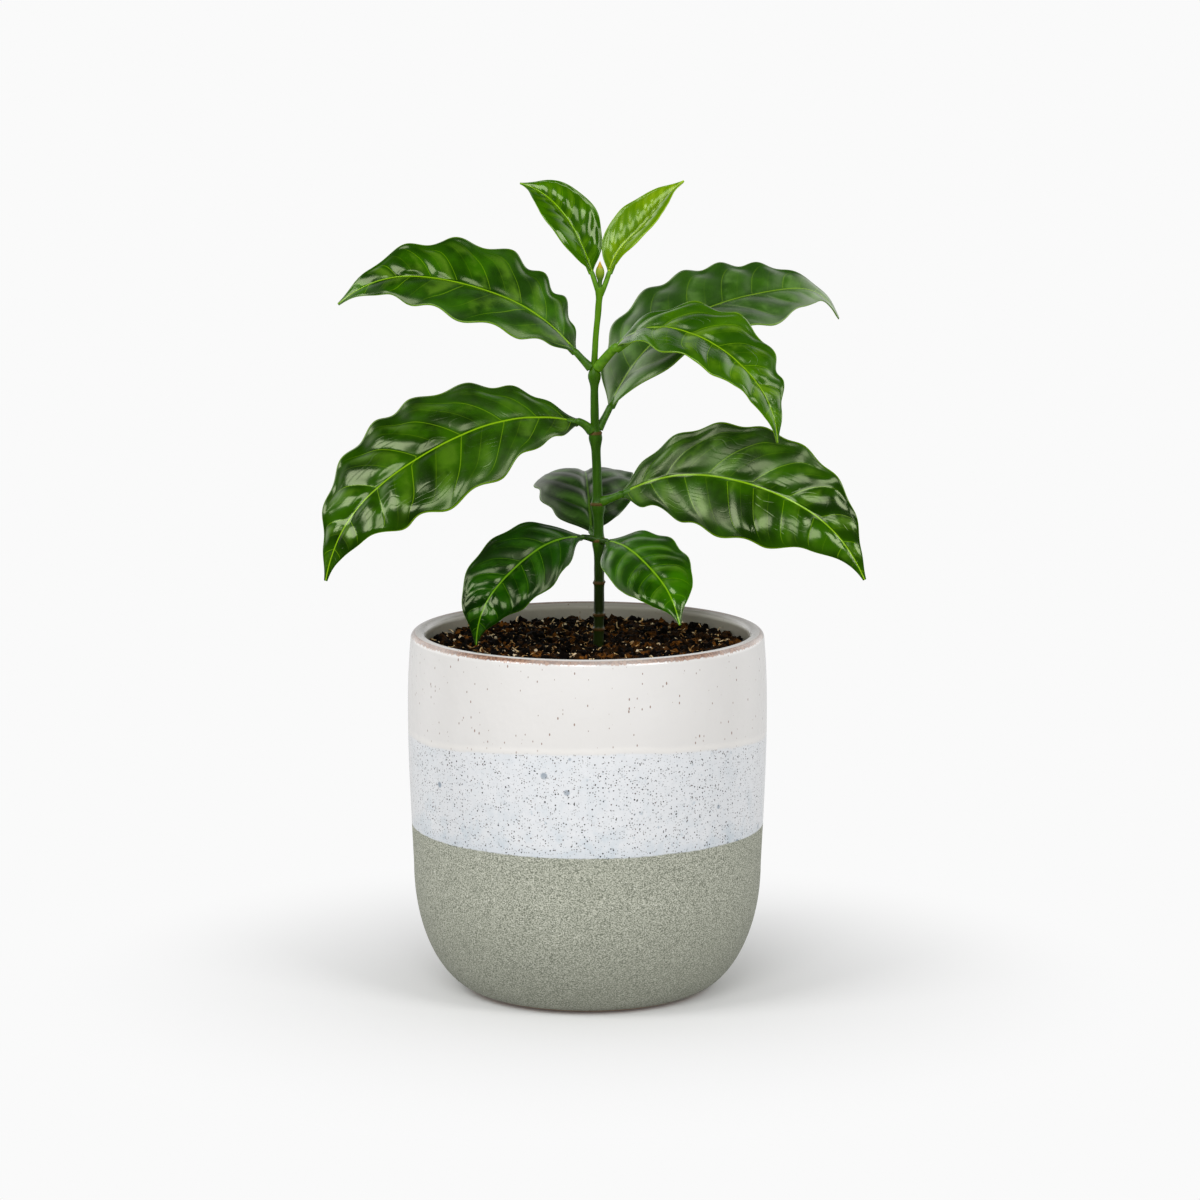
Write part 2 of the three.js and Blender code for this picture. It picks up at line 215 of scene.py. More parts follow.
# A leaf stands on the stem at its node. Its petiole has a heading, a reach out from the stem's axis, a
# rise above the node and a radius. Slopes are those of the midrib at equal steps, and heading and roll
# are given at its base and tip. Fold lifts the two halves of the blade, cup lets their margins droop, and
# a belly above 1 moves the widest part towards the tip. The left half comes first in each pair that
# follows. Veins are the shares of the midrib where side veins start, and sweep is how far they run
# forward. Crests are the shares where the margin bulges, by wave millimetres. Quilt is the height of the
# panels between the veins, and ripple the depth of the fine cross veins. Flare thickens the petiole's
# foot, which stands sunk millimetres deeper, at a share foot of the way from the stem's axis to its bark.
# Soft rounds the creases along the veins, and a lobe widens a half at its base by millimetres.
LEAVES = [
    dict(
        name="top_left", node=235, petiole=(170, 2.7, 5.9, 0.85), heading=(160, 148),
        slopes=(71, 60, 38, 11), length=41, half_width=9.6, roll=(-25, -42), fold=30, cup=0.13,
        tone="youngest_dark", sunk=3.5, foot=0.1, flare=0, soft=0.5, sweep=(0.8, 0.9),
        veins=((0.1, 0.25, 0.4, 0.52, 0.64, 0.76, 0.88), (0.06, 0.195, 0.32, 0.45, 0.575, 0.68, 0.79, 0.9)),
        crests=((0.1, 0.3, 0.55, 0.8), (0.15, 0.4, 0.75)), wave=(0.1, 0.3), quilt=0.4,
    ),
    dict(
        name="top_right", node=235, petiole=(8, 3.1, 5.9, 0.85), heading=(15, 15), slopes=(74, 43, 51, 35),
        length=39.5, half_width=9.2, roll=(30, 21), fold=36, cup=0.13, tone="youngest", sunk=3.5, foot=0.1,
        flare=0, soft=0.5, sweep=(0.9, 0.8),
        veins=(
            (0.06, 0.145, 0.24, 0.35, 0.455, 0.55, 0.635, 0.74, 0.85),
            (0.1, 0.22, 0.34, 0.48, 0.6, 0.72, 0.85),
        ),
        crests=((0.2, 0.5, 0.88), (0.28, 0.55, 0.8)), wave=(0.15, 0.15), quilt=0.3,
    ),
    dict(
        name="upper_left", node=207.5, petiole=(178, 6.4, 7.3, 1.15), heading=(170, 178),
        slopes=(50, 22, 3, -40), length=88.5, half_width=17.8, roll=(-28, -46), fold=14, cup=0.12,
        belly=0.92, tone="dark", sweep=(0.8, 0.8),
        veins=((0.015, 0.24, 0.49, 0.7, 0.86), (0.07, 0.155, 0.265, 0.39, 0.52, 0.62, 0.75, 0.88)),
        crests=((0.05, 0.195, 0.45, 0.7, 0.87), (0.05, 0.155, 0.254, 0.375, 0.567, 0.729, 0.9)),
        wave=(1.1, 1.3), quilt=1.0, ripple=0.015,
    ),
    dict(
        name="upper_front", node=207.2, petiole=(-30, 8.2, 9.6, 1.55), heading=(-36, -36),
        slopes=(41, 1, -23, -47, -85), length=83.4, half_width=15.4, roll=(30, 8), fold=14, cup=0.12,
        belly=1.04, tone="light", foot=0.3, flare=0.1, sweep=(0.9, 0.6),
        veins=((0.1, 0.235, 0.38, 0.515, 0.65, 0.75, 0.87), (0.1, 0.21, 0.365, 0.495, 0.62, 0.74, 0.86)),
        crests=((0.12, 0.3, 0.483, 0.68, 0.79, 0.92), (0.1, 0.365, 0.63, 0.88)), wave=(1.0, 0.8), quilt=1.6,
        ripple=0.07,
    ),
    dict(
        name="upper_back", node=187.2, petiole=(31, 5.9, 9.1, 1.15), heading=(33, 33),
        slopes=(62, 41, 20, 8, -4, -60), length=110, half_width=22, roll=(0, 41), fold=12, cup=0.12,
        belly=0.87, tone="deep", sweep=(0.75, 0.8),
        veins=((0.13, 0.26, 0.395, 0.52, 0.63, 0.745, 0.87), (0.1, 0.22, 0.35, 0.5, 0.65, 0.78, 0.9)),
        crests=((0.1, 0.235, 0.379, 0.505, 0.615, 0.725, 0.83, 0.94), (0.15, 0.37, 0.6, 0.84, 0.97)),
        wave=(0.9, 1.0), quilt=1.0, ripple=0.01,
    ),
    dict(
        name="middle_left", node=186.5, petiole=(198, 6.3, 5.2, 1.3), heading=(196, 196),
        slopes=(12, -19, -39, -78), length=109, half_width=22, roll=(-39, -46), fold=4, cup=0.11,
        belly=1.04, tone="green", lobe=(2.6, 0), sweep=(0.65, 0.9),
        veins=(
            (0.02, 0.12, 0.23, 0.37, 0.545, 0.675, 0.8, 0.9),
            (0.04, 0.125, 0.235, 0.37, 0.515, 0.67, 0.8, 0.9),
        ),
        crests=((0.02, 0.13, 0.315, 0.53, 0.72, 0.89), (0.07, 0.17, 0.285, 0.442, 0.558, 0.69, 0.82, 0.93)),
        wave=(1.3, 1.0), quilt=1.25, ripple=0.035,
    ),
    dict(
        name="middle_right", node=163.5, petiole=(-20, 8.6, 4.2, 1.3), heading=(-20, -16),
        slopes=(29, -4, -28, -65), length=97, half_width=19.8, roll=(56, 64), fold=7, cup=0.11,
        tone="green", lobe=(0, 2.4), sweep=(1.0, 0.5),
        veins=(
            (0.07, 0.165, 0.315, 0.47, 0.605, 0.735, 0.85),
            (0.02, 0.11, 0.235, 0.39, 0.485, 0.6, 0.72, 0.86),
        ),
        crests=((0.08, 0.2, 0.325, 0.455, 0.585, 0.71, 0.83, 0.94), (0.05, 0.215, 0.42, 0.64, 0.86)),
        wave=(0.7, 0.9), quilt=1.0, ripple=0.035,
    ),
    dict(
        name="middle_back", node=151.6, petiole=(122, 4.6, 2.6, 0.9), heading=(94, 92),
        slopes=(36, 18, -28, -62), length=82, half_width=16.2, roll=(0, 0), fold=12, cup=0.34, belly=0.85,
        tone="shaded", sweep=(0.8, 0.8),
        veins=((0.02, 0.12, 0.25, 0.37, 0.49, 0.62, 0.75, 0.88), (0.06, 0.18, 0.3, 0.42, 0.54, 0.68, 0.82)),
        crests=((0.1, 0.25, 0.4, 0.55, 0.7, 0.85), (0.08, 0.2, 0.35, 0.5, 0.65, 0.8)), wave=(0.7, 0.9),
        quilt=0.8,
    ),
    dict(
        name="low_left", node=151.2, petiole=(208, 6.4, 2, 0.9), heading=(216, 216),
        slopes=(6, -26, -45, -88), length=59, half_width=13.1, roll=(-31, -47), fold=5, cup=0.11,
        outline=ROUND, belly=1.2, tone="old", sweep=(0.7, 0.9),
        veins=((0.05, 0.16, 0.305, 0.445, 0.6, 0.74, 0.87), (0.1, 0.24, 0.43, 0.55, 0.66, 0.775, 0.9)),
        crests=((0.171, 0.43, 0.68, 0.89), (0.05, 0.24, 0.45, 0.66, 0.83)), wave=(0.5, 0.4), quilt=0.75,
        ripple=0.03,
    ),
    dict(
        name="low_right", node=150.8, petiole=(-57, 5.2, 1.2, 0.9), heading=(-56, -64),
        slopes=(4, -18, -28, -61), length=53.5, half_width=13, roll=(23, 23), fold=7, cup=0.12,
        outline=ROUND, belly=1.17, tone="old_light", sweep=(0.8, 0.7),
        veins=((0.12, 0.265, 0.38, 0.495, 0.64, 0.78, 0.9), (0.12, 0.265, 0.425, 0.55, 0.685, 0.82)),
        crests=((0.15, 0.36, 0.58, 0.8), (0.19, 0.55, 0.86)), wave=(0.5, 0.3), quilt=0.7, ripple=0.03,
    ),
]

# Each tone of leaf: the blade, its darker patches, which also serve as painted shade, its pale colour,
# which is painted sheen, its veins, its underside, its slot in the record, its roughness, how strongly it
# shines, and how much duller its base half is than its tip half.
TONE_PARTS = ("blade", "patch", "pale", "vein", "underside", "slot", "roughness", "shine", "base_haze")
TONES = {
    "youngest": ("6e9200", "4c7600", "86a608", "a4c40a", "86a840", "leaf_youngest", 0.12, 0.5, 0),
    "youngest_dark": ("3e7000", "244a00", "547e08", "78a60a", "6f9638", "leaf_young", 0.07, 0.5, 0),
    "light": ("457400", "1e4600", "648c14", "80aa10", "648c38", "leaf_light_green", 0.15, 0.42, 0.06),
    "green": ("2c5600", "0c2400", "4a7012", "7ca60c", "557c34", "leaf_green", 0.1, 0.55, 0.16),
    "dark": ("316200", "103000", "557c18", "7aa60c", "527a32", "leaf_green", 0.12, 0.5, 0.16),
    "deep": ("386410", "1e4208", "5c8438", "78a01c", "4d7438", "leaf_dark_green", 0.24, 0.78, 0.04),
    "shaded": ("1c4400", "082000", "50782e", "50780e", "4d7438", "leaf_dark_green", 0.24, 0.65, 0.08),
    "old": ("154000", "031600", "2e5a0a", "5c8a10", "4e7832", "leaf_dark_green", 0.1, 0.42, 0.16),
    "old_light": ("2f6400", "0c2c00", "527e16", "74a412", "557f34", "leaf_green", 0.1, 0.55, 0.16),
}
SHINE_TINT = (0.88, 1, 0.6, 1)
SHEEN_FADE = (1.2, 4.2)
UNDERSIDE_DULLNESS = 0.4

# Each kind of stalk: its light and its dark colour, its colour under the blade, and the tones it carries.
STALKS = {
    "stalk_young": ("5c8c06", "467602", "a3c060", ("youngest", "youngest_dark", "light")),
    "stalk_green": ("406c04", "305a02", "86a850", ("dark", "green", "deep", "shaded")),
    "stalk_old": ("2e5004", "162e02", "7c9c4c", ("old", "old_light")),
}
STALK_FADE = (13, 22)


def linear(code):
    """A colour written as six hexadecimal digits, as the shaders read it."""
    channels = []
    for i in (0, 2, 4):
        c = int(code[i:i + 2], 16) / 255
        channels.append(c / 12.92 if c <= 0.04045 else ((c + 0.055) / 1.055) ** 2.4)
    return (*channels, 1)


def clamp(x):
    return min(1.0, max(0.0, x))


def smooth(x, low, high):
    """Rises softly from 0 at low to 1 at high."""
    t = clamp((x - low) / (high - low))
    return t * t * (3 - 2 * t)


def mix(a, b, share):
    return a + (b - a) * share


def hump(x, width):
    return math.exp(-((x / width) ** 2))


def along(values, share):
    """The value at a share from 0 to 1 on a smooth line through equally spaced values."""
    at = clamp(share) * (len(values) - 1)
    i = min(int(at), len(values) - 2)
    t = at - i
    a = values[max(i - 1, 0)]
    b = values[i]
    c = values[i + 1]
    d = values[min(i + 2, len(values) - 1)]
    return b + 0.5 * t * (c - a + t * (2 * a - 5 * b + 4 * c - d + t * (3 * (b - c) + d - a)))


def direction(heading, slope=0.0):
    h = math.radians(heading)
    s = math.radians(slope)
    return Vector((math.cos(s) * math.cos(h), math.cos(s) * math.sin(h), math.sin(s)))


# Materials

# The Mix node's sockets for colours: its factor, its two colours and its result.
MIX_FACTOR = 0
MIX_FIRST = 6
MIX_SECOND = 7
MIX_RESULT = 2


class Value:
    """A socket that varies over a surface. Sums and products of values add their Math nodes."""

    def __init__(self, paint, socket):
        self.paint = paint
        self.socket = socket

    def math(self, operation, *values):
        return self.paint.node("ShaderNodeMath", {"operation": operation}, dict(enumerate(values)))

    def __add__(self, other):
        return self.math("ADD", self, other)

    def __radd__(self, other):
        return self.math("ADD", other, self)

    def __sub__(self, other):
        return self.math("SUBTRACT", self, other)

    def __rsub__(self, other):
        return self.math("SUBTRACT", other, self)

    def __mul__(self, other):
        return self.math("MULTIPLY", self, other)

    def __rmul__(self, other):
        return self.math("MULTIPLY", other, self)

    def __truediv__(self, other):
        return self.math("DIVIDE", self, other)

    def __pow__(self, other):
        return self.math("POWER", self, other)

    def __abs__(self):
        return self.math("ABSOLUTE", self)

    def fraction(self):
        return self.math("FRACT", self)

    def larger(self, other):
        return self.math("MAXIMUM", self, other)

    def rise(self, low, high):
        """0 below low and 1 above high, with a soft step between them."""
        settings = {"interpolation_type": "SMOOTHSTEP"}
        values = {"Value": self, "From Min": low, "From Max": high}
        return self.paint.node("ShaderNodeMapRange", settings, values)

    def fall(self, low, high):
        return 1 - self.rise(low, high)


class Paint:
    """A material or a world, made node by node."""

    def __init__(self, name, kind="materials"):
        self.owner = getattr(bpy.data, kind).new(name)
        self.owner.use_nodes = True
        self.tree = self.owner.node_tree
        self.tree.nodes.clear()

    def node(self, kind, settings=None, values=None, output=0):
        """Adds a node: first its settings, then its sockets' values or links. Returns one output."""
        made = self.tree.nodes.new(kind)
        for key, setting in (settings or {}).items():
            setattr(made, key, setting)
        for key, value in (values or {}).items():
            if isinstance(value, Value):
                self.tree.links.new(value.socket, made.inputs[key])
            else:
                made.inputs[key].default_value = value
        return Value(self, made.outputs[output]) if len(made.outputs) else None

    def place(self, stretch=(1, 1, 1)):
        """Object coordinates in millimetres."""
        here = self.node("ShaderNodeTexCoord", output="Object")
        scale = tuple(s / MM for s in stretch)
        return self.node("ShaderNodeMapping", None, {"Vector": here, "Scale": scale})

    def part(self, vector, name):
        """One of the three numbers of a vector."""
        return self.node("ShaderNodeSeparateXYZ", None, {"Vector": vector}, name)

    def axis(self, name):
        """One coordinate in millimetres."""
        return self.part(self.node("ShaderNodeTexCoord", output="Object"), name) / MM

    def from_axis(self):
        """The distance from the upright line through the pot's middle, in millimetres."""
        across = self.axis("X")
        deep = self.axis("Y")
        return (across * across + deep * deep) ** 0.5

    def marked(self, name):
        """A number kept at each point of the mesh."""
        return self.node("ShaderNodeAttribute", {"attribute_name": name}, None, "Fac")

    def clouds(self, size, detail=2.0, where=None, roughness=0.5):
        """Soft noise from 0 to 1 whose blots are about size millimetres wide."""
        where = where or self.place()
        values = {"Vector": where, "Scale": 1 / size, "Detail": detail, "Roughness": roughness}
        return self.node("ShaderNodeTexNoise", None, values)

    def grains(self, size, where, part="Distance"):
        """Cells about size millimetres wide: the distance to their middles, or their random colours."""
        return self.node("ShaderNodeTexVoronoi", None, {"Vector": where, "Scale": 1 / size}, part)

    def specks(self, size, radius, share, where=None):
        """Round specks in a share of a pattern's cells, with radii up to a share of a cell's size."""
        where = where or self.place()
        chance = self.part(self.grains(size, where, "Color"), "X")
        reach = (1 - chance / share) * radius
        return (self.grains(size, where) - reach).fall(-0.04, 0.04) * chance.fall(share * 0.9, share)

    def mixed(self, factor, first, second):
        """Two colours mixed. Each is a value, or is written as hexadecimal digits."""
        first, second = (linear(c) if isinstance(c, str) else c for c in (first, second))
        values = {MIX_FACTOR: factor, MIX_FIRST: first, MIX_SECOND: second}
        return self.node("ShaderNodeMix", {"data_type": "RGBA"}, values, MIX_RESULT)

    def layered(self, color, *layers):
        """Lays colours over a first one, each by its own share."""
        for share, tint in layers:
            color = self.mixed(share, color, tint)
        return color

    def bump(self, height, depth):
        """Raises the surface by up to depth millimetres where height is 1."""
        values = {"Height": height, "Distance": depth * MM, "Strength": 1.0}
        return self.node("ShaderNodeBump", None, values)

    def finish(self, **values):
        """Ends the material in one shader. A socket's name is written with underscores."""
        named = {key.replace("_", " "): value for key, value in values.items()}
        shader = self.node("ShaderNodeBsdfPrincipled", None, named)
        self.node("ShaderNodeOutputMaterial", None, {"Surface": shader})
        return self.owner


def leaf_material(tone, look):
    """Waxy upper side with pale veins, painted sheen and painted shade, and a duller, lighter underside."""
    paint = Paint("leaf_" + tone)
    under = paint.marked("under").rise(0.3, 0.7)
    vein_at = paint.marked("phase")
    from_vein = abs((vein_at + 0.5).fraction() - 0.5)
    from_half = abs(vein_at.fraction() - 0.5)
    edge = paint.marked("edge")
    inward = edge.fall(0.7, 0.98)

    faint = paint.clouds(9)
    side_vein = from_vein.fall(0.003, 0.017) * (0.3 + 0.4 * faint) * inward
    half_vein = from_half.fall(0.002, 0.014) * 0.3 * faint * inward
    margin = edge.rise(0.97, 0.99) * 0.6
    midrib = paint.marked("aside").fall(0.5, 1.1)
    lines = side_vein.larger(half_vein).larger(margin).larger(midrib)
    rung = abs(paint.marked("rung").fraction() - 0.5).fall(0.02, 0.13)
    groove = rung * paint.marked("groove")
    normal = paint.bump(0.06 * paint.clouds(3.2, 0) - groove, 1.0)

    patches = paint.clouds(12, 3).rise(0.35, 0.65)
    within = vein_at.fraction() + 0.5 * (paint.clouds(6, 3) - 0.5)
    # Painted shade darkens each panel towards the next vein on its tip side, and a painted sheen lightens
    # it just past the vein before.
    behind = within.rise(0.3, 0.6) * within.fall(0.8, 1.02) * paint.clouds(15).rise(0.35, 0.6)
    ahead = within.rise(0.0, 0.2) * within.fall(0.15, 0.65) * paint.clouds(9, 4).rise(0.4, 0.6)
    color = paint.layered(
        look["blade"],
        (patches * 0.85, look["patch"]),
        (behind * 0.6 * inward, look["patch"]),
        (ahead * 0.75 * inward, look["pale"]),
        # Painted shade darkens the outer part of each half towards the margin.
        (edge.rise(0.6, 0.95) * 0.35, look["patch"]),
        (lines, look["vein"]),
        (under, paint.mixed(lines * 0.7, look["underside"], look["vein"])),
    )

    rough = look["roughness"] + 0.12 * paint.clouds(6) + UNDERSIDE_DULLNESS * under
    rough = rough + look["base_haze"] * vein_at.fall(*SHEEN_FADE)
    return paint.finish(
        Base_Color=color, Roughness=rough, Normal=normal, Specular_IOR_Level=look["shine"],
        Specular_Tint=SHINE_TINT,
    )


def stem_material():
    """Green bark that darkens towards the foot, with brown rings at the old nodes."""
    paint = Paint("stem_bark")
    height = paint.axis("Z")
    streaks = paint.clouds(1.1, 3, paint.place((1, 1, 0.12)))
    young = paint.mixed(streaks, "3a6802", "5c8a06")
    grown = paint.mixed(streaks, "1a3c02", "386202")
    old = paint.mixed(streaks, "101804", "2a3a0a")
    ring = None
    wavy = height + 0.5 * (paint.clouds(2.5) - 0.5)
    for place in STEM_RINGS:
        band = abs(wavy - place).fall(0.25, 0.75)
        ring = band if ring is None else ring.larger(band)
    cork = paint.mixed(paint.clouds(0.8), "33260c", "6e4c20")
    color = paint.layered(
        grown, (height.rise(*YOUNG_BARK_HEIGHTS), young), (height.fall(*OLD_BARK_HEIGHTS), old),
        (ring * 0.85, cork),
    )
    return paint.finish(
        Base_Color=color, Roughness=0.36 + 0.25 * ring, Normal=paint.bump(streaks, 0.05),
        Specular_IOR_Level=0.2,
    )


def petiole_material(name, light, dark, under_blade):
    """Green near the stem, and paler where the stalk runs on under its blade."""
    paint = Paint(name)
    streaks = paint.clouds(1.4)
    out = paint.from_axis()
    color = paint.layered(dark, (streaks.rise(0.3, 0.7), light), (out.rise(*STALK_FADE), under_blade))
    return paint.finish(
        Base_Color=color, Roughness=0.38 + 0.1 * streaks, Normal=paint.bump(streaks, 0.02),
        Specular_IOR_Level=0.3,
    )


def bud_material():
    """Yellow-green, with a warm tip."""
    paint = Paint("bud_skin")
    height = paint.axis("Z")
    color = paint.layered(
        "3c6402",
        (height.rise(STEM_TOP + 2, STEM_TOP + 5.5), "7c9402"),
        (height.rise(STEM_TOP + 5.5, STEM_TOP + 8), "c0940c"),
    )
    return paint.finish(Base_Color=color, Roughness=0.35 + 0.2 * paint.clouds(1))


def scale_material():
    """Dry brown skin."""
    paint = Paint("stipule_skin")
    tone = paint.clouds(1.2, 3)
    color = paint.mixed(tone.rise(0.35, 0.65), "4a2a0c", "9a7030")
    return paint.finish(Base_Color=color, Roughness=0.7 + 0.2 * tone)


def soil_material(name, dark, light, depth):
    """Dull and rough, in blots of two colours, for the mix and what lies on it."""
    paint = Paint(name)
    tone = paint.clouds(1.3, 4, roughness=0.65)
    color = paint.mixed(tone.rise(0.35, 0.7), dark, light)
    return paint.finish(
        Base_Color=color, Roughness=0.8 + 0.15 * tone, Normal=paint.bump(paint.clouds(0.5, 3), depth),
        Specular_IOR_Level=0.06,
    )


def pot_material():
    """A white glaze over a speckled pale blue one, over bare stoneware, with a brown line at the rim."""
    paint = Paint("pot_glazes")
    across = paint.axis("X")
    deep = paint.axis("Y")
    height = paint.axis("Z")
    radius = paint.from_axis()
    sway = (across * across - deep * deep) / POT_RADIUS ** 2
    wander = paint.clouds(16) - 0.5
    ragged = paint.clouds(1.6, 3) - 0.5
    level = height + sway * UPPER_GLAZE_SWAY + wander * UPPER_GLAZE_WANDER
    upper = (level + ragged * 0.8 - UPPER_GLAZE_EDGE).rise(-0.5, 0.5)
    low_level = height + wander * LOWER_GLAZE_WANDER + ragged * 0.5
    glazed = (low_level - LOWER_GLAZE_EDGE).rise(-0.25, 0.25)

    tall = paint.place((1, 1, 0.5))
    lip_edge = abs(level - UPPER_GLAZE_EDGE - 1.2).fall(0.0, 1.6)
    white = paint.layered(
        "dfdddb",
        (paint.clouds(22), "d8d6d3"),
        (paint.specks(1.35, 0.19, 0.7, tall) * 0.8, "7a5644"),
        (lip_edge * 0.4, "e9e6e1"),
    )

    patches = paint.clouds(7, 5, roughness=0.6).rise(0.45, 0.72)
    lower = height.fall(LOWER_GLAZE_EDGE + 1, LOWER_GLAZE_EDGE + 20)
    dripping = low_level - paint.clouds(0.9, 3, tall) * 4
    fringe = dripping.fall(LOWER_GLAZE_EDGE - 1, LOWER_GLAZE_EDGE + 2.4)
    smudges = paint.clouds(1.6, 3).rise(0.64, 0.72) * paint.clouds(8).rise(0.4, 0.6)
    blue = paint.layered(
        "e4e5e7",
        (paint.clouds(2.2, 4, roughness=0.65), "d3d6d9"),
        (patches * (0.25 + 0.5 * lower), "c2ccd3"),
        (fringe * 0.25, "b2bfca"),
        (smudges * 0.55, "a3b1ba"),
    )
    for size, spread, share, strength, tint in BLUE_SPECKS:
        dots = paint.specks(size, spread, share) * paint.clouds(size * 4).rise(0.3, 0.46)
        blue = paint.mixed(dots * strength, blue, tint)

    sand = paint.clouds(0.38, 3, paint.place((0.8, 0.8, 1.2)), roughness=0.7)
    pits = paint.specks(0.65, 0.44, 0.5, paint.place((0.8, 0.8, 1.3)))
    pale = paint.specks(0.7, 0.36, 0.4)
    stone = paint.layered(
        "666b5c",
        (sand.rise(0.4, 0.6), "c6c7b8"),
        (pits * 0.75, "5a5f51"),
        (pale * 0.8, "e2e2d6"),
        (paint.clouds(30) * 0.3, "9da08f"),
        # Painted shade: the bare stoneware darkens towards the foot.
        (height.fall(8, 46) * 0.35, "6f7265"),
        (height.fall(0.7, 1.5), "b0957f"),
    )

    streaks = paint.clouds(0.9, 3, paint.place((1, 1, 0.35)))
    frayed = height + (streaks - 0.5) * 1.6
    outer = radius + deep.rise(-10, 45) * 2.3
    rim = frayed.rise(*RIM_LINE_HEIGHTS) * outer.rise(*RIM_LINE_RADII)
    reach = paint.clouds(24).rise(0.3, 0.6)
    # The lip's top turns grey-brown towards the back, partly its own colour and partly painted shade.
    lip = height.rise(119.4, 120.6) * deep.rise(-50, 15)
    # Painted shade on the wall inside the lip, above the mix.
    inner = radius.fall(*SHADED_INNER_WALL_RADII) * height.fall(119.5, 121) * height.rise(100, 105)
    color = paint.layered(
        stone,
        (glazed, paint.mixed(upper, blue, white)),
        (rim * (0.6 + 0.35 * reach), paint.mixed(streaks.rise(0.4, 0.62), "714a34", "a37c62")),
        (lip * 0.6, "7d6d60"),
        (inner * 0.75, "a59c88"),
    )

    rough = 0.09 + 0.07 * paint.clouds(10)
    rough = rough * glazed + 0.88 * (1 - glazed) + 0.3 * inner
    grit = (sand * 0.25 + pale * 0.1 - pits * 0.16) * (1 - glazed)
    grit += (paint.clouds(6) * 0.5 + lip_edge * 0.1) * glazed
    return paint.finish(
        Base_Color=color, Roughness=rough, Normal=paint.bump(grit, 0.5), Coat_Weight=glazed * 0.2,
        Coat_Roughness=0.06,
    )


# Making pieces

def mesh_from(name, bm):
    """Turns a bmesh into a mesh, and frees it."""
    mesh = bpy.data.meshes.new(name)
    bm.to_mesh(mesh)
    bm.free()
    return mesh


def placed(name, data):
    """Puts a new object into the scene."""
    thing = bpy.data.objects.new(name, data)
    bpy.context.scene.collection.objects.link(thing)
    return thing


def close_up(bm):
    """Merges seams and poles, and turns the faces outwards."""
    bmesh.ops.remove_doubles(bm, verts=bm.verts[:], dist=MERGE_DISTANCE)
    bmesh.ops.recalc_face_normals(bm, faces=bm.faces[:])


def rolled(sides, rows, place):
    """A grid rolled up into a closed tube. Place gives a point for its shares round and along the tube."""
    bm = bmesh.new()
    bmesh.ops.create_grid(bm, x_segments=sides, y_segments=rows, size=0.5)
    for v in bm.verts:
        v.co = place(v.co.x + 0.5, v.co.y + 0.5)
    close_up(bm)
    return bm


def make_piece(name, bm, material, slot, replaced=None):
    """Turns a bmesh into a finished object that rides on the part."""
    mesh = mesh_from(name, bm)
    mesh.polygons.foreach_set("use_smooth", [True] * len(mesh.polygons))
    mesh.materials.append(material)
    piece = placed(name, mesh)
    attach(piece, "root")
    if replaced:
        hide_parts(replaced)


# The stem

def stem_share(height):
    return (height - STEM_BASE) / (STEM_TOP - STEM_BASE)


def stem_axis(height):
    return Vector((along(STEM_LEAN, stem_share(height)), 0, height))


def stem_radius(height):
    radius = along(STEM_RADII, stem_share(height))
    for node, swelling, spread in STEM_NODES:
        radius += swelling * hump(height - node, spread)
    return radius


def make_stem(material):
    rows = STEM_ROWS + 2 * STEM_CAP_ROWS

    def place(turn, share):
        up = share * rows
        height = mix(STEM_FOOT, STEM_TOP, clamp((up - STEM_CAP_ROWS) / STEM_ROWS))
        closing = clamp(min(up, (1 - share) * rows) / STEM_CAP_ROWS)
        angle = turn * FULL_TURN
        radius = stem_radius(height)
        for ring in STEM_RINGS:
            tilt = RING_TILT * math.cos(angle + ring)
            radius += RING_SWELLING * hump(height - ring - tilt, RING_SPREAD)
        around = direction(turn * 360)
        radius += 0.1 * noise.noise(around * 1.6 + Vector((0, 0, height * 0.25)))
        radius += 0.04 * math.sin(5 * angle + height * 0.05)
        return (stem_axis(height) + around * radius * closing) * MM

    make_piece("main_stem", rolled(STEM_SIDES, rows, place), material, "stem", "stem")


def make_bud(material):
    base = stem_axis(STEM_TOP)

    def place(turn, share):
        angle = turn * FULL_TURN
        radius = BUD_RADIUS * along(BUD_OUTLINE, share)
        radius *= 1 + 0.1 * math.cos(2 * angle + 1.2 + 0.8 * share)
        radius *= clamp(share * BUD_ROWS) * clamp((1 - share) * BUD_ROWS / 3) ** 0.6
        height = BUD_LENGTH * share - BUD_SINK
        return (base + Vector((0, 0, height)) + direction(turn * 360) * radius) * MM

    make_piece("shoot_bud", rolled(BUD_SIDES, BUD_ROWS, place), material, "bud", "bud")


def make_scales(material):
    """The little brown stipules in the axils of the leaf stalks."""
    whole = bmesh.new()
    for leaf in LEAVES:
        heading, reach, rise, radius = leaf["petiole"]
        out = direction(heading)
        aside = direction(heading + 90)
        slant = rise / reach
        root = stem_axis(leaf["node"] + radius * 1.1) + out * (stem_radius(leaf["node"] + 1) * 0.8)

        def place(turn, share):
            angle = turn * FULL_TURN
            opening = min(1, share * 12)
            width = radius * SCALE_WIDTH * (1 - share) ** 0.6 * opening
            thick = SCALE_THICKNESS * (1 - share) ** 0.5 * opening
            point = root + out * (0.3 + share * 1.1 / (0.5 + slant))
            point += aside * width * math.cos(angle)
            point += out * thick * math.sin(angle)
            point.z += share * (0.8 + 1.4 * min(1, slant)) + 0.25 * math.cos(3 * angle) * share
            return point * MM

        mesh = mesh_from("scale", rolled(SCALE_SIDES, SCALE_ROWS, place))
        whole.from_mesh(mesh)
        bpy.data.meshes.remove(mesh)
    make_piece("stipules", whole, material, "stem")


# The leaves

def blade_base(leaf):
    heading, reach, rise = leaf["petiole"][:3]
    return stem_axis(leaf["node"]) + direction(heading) * reach + Vector((0, 0, rise))


